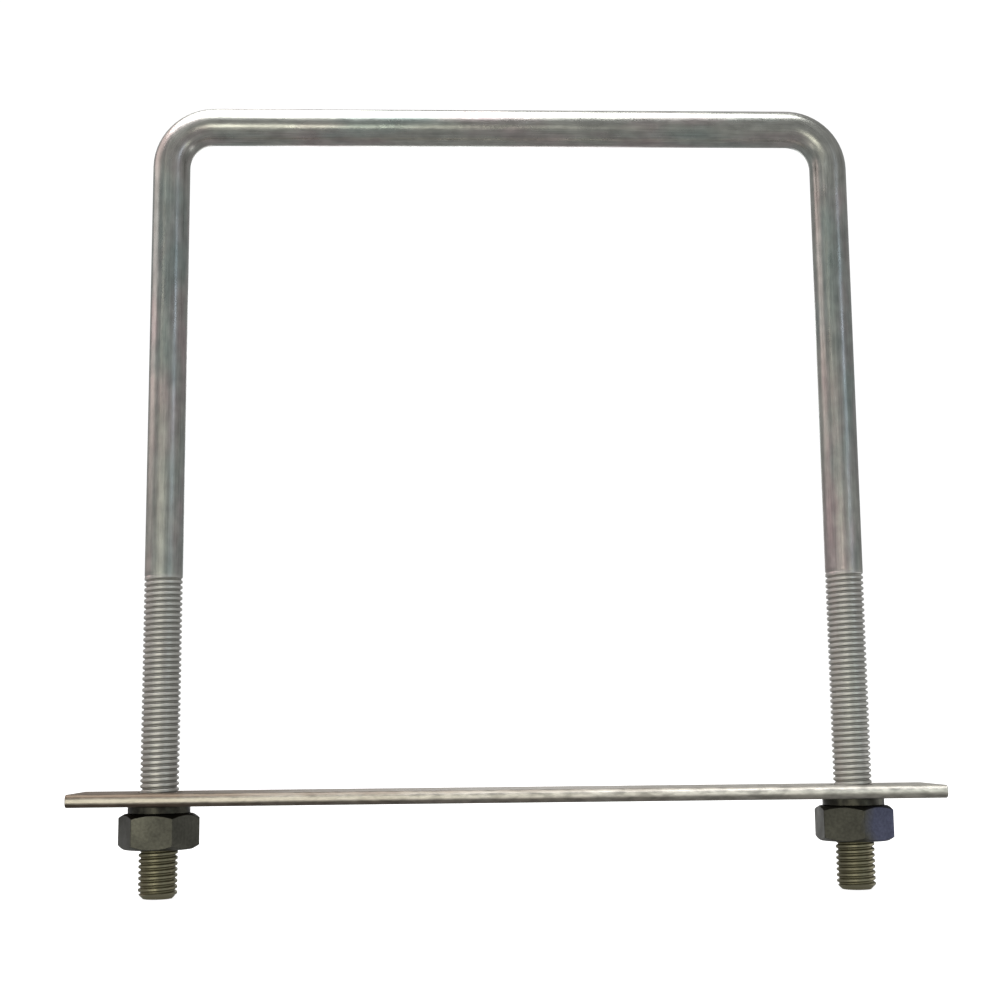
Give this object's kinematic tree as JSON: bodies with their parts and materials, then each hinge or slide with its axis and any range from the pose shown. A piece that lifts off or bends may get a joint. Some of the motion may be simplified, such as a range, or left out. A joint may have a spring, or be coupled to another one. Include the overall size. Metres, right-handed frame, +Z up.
{
  "type": "square u-bolt",
  "caption": "Square U-bolt of round steel rod with threaded legs, flat clamp plate, spring lock washers and hex nuts, for clamping a square post or beam.",
  "frame": {"origin": "midway between the two stud ends, in the plane of the U", "axes": "+X along the bar and the clamp plate, from the left leg to the right leg; +Y from the front of the U to its back; +Z up the legs, from the stud ends to the bar"},
  "size_m": [0.27, 0.03, 0.255],
  "materials": {
    "zinc_rod": "electroplated zinc, satin grey",
    "zinc_plate": "hot rolled flat bar under thin zinc, brownish grey with bright rubbed edges",
    "spring_steel": "dark phosphated spring steel",
    "nut_steel": "dark oiled and plated steel, satin"
  },
  "bodies": {
    "rod": {"rod": "zinc_rod"},
    "washer_left": {"washer_left": "spring_steel"},
    "nut_left": {"nut_left": "nut_steel"},
    "washer_right": {"washer_right": "spring_steel"},
    "nut_right": {"nut_right": "nut_steel"},
    "plate": {"plate": "zinc_plate"}
  },
  "joints": [
    {"name": "washer_left_travel", "type": "slide", "parent": "rod", "child": "washer_left", "axis": [0, 0, 1], "range_m": [-0.014, 0.07]},
    {"name": "nut_left_turn", "type": "hinge", "parent": "washer_left", "child": "nut_left", "pos_m": [-0.109, 0, 0.0204], "axis": [0, 0, 1], "range_deg": [-2881, 14401]},
    {"name": "washer_right_travel", "type": "slide", "parent": "rod", "child": "washer_right", "axis": [0, 0, 1], "range_m": [-0.0141, 0.0701]},
    {"name": "nut_right_turn", "type": "hinge", "parent": "washer_right", "child": "nut_right", "pos_m": [0.109, 0, 0.0204], "axis": [0, 0, 1], "range_deg": [-2881, 14401]},
    {"name": "plate_lift", "type": "slide", "parent": "washer_left", "child": "plate", "axis": [0, 0, 1], "range_m": [0, 0.12]}
  ],
  "couplings": [
    {"joint": "nut_left_turn", "follows": "washer_left_travel", "rad_per_m": 3590.4},
    {"joint": "washer_right_travel", "follows": "washer_left_travel", "ratio": 1},
    {"joint": "nut_right_turn", "follows": "washer_left_travel", "rad_per_m": 3590.4}
  ]
}
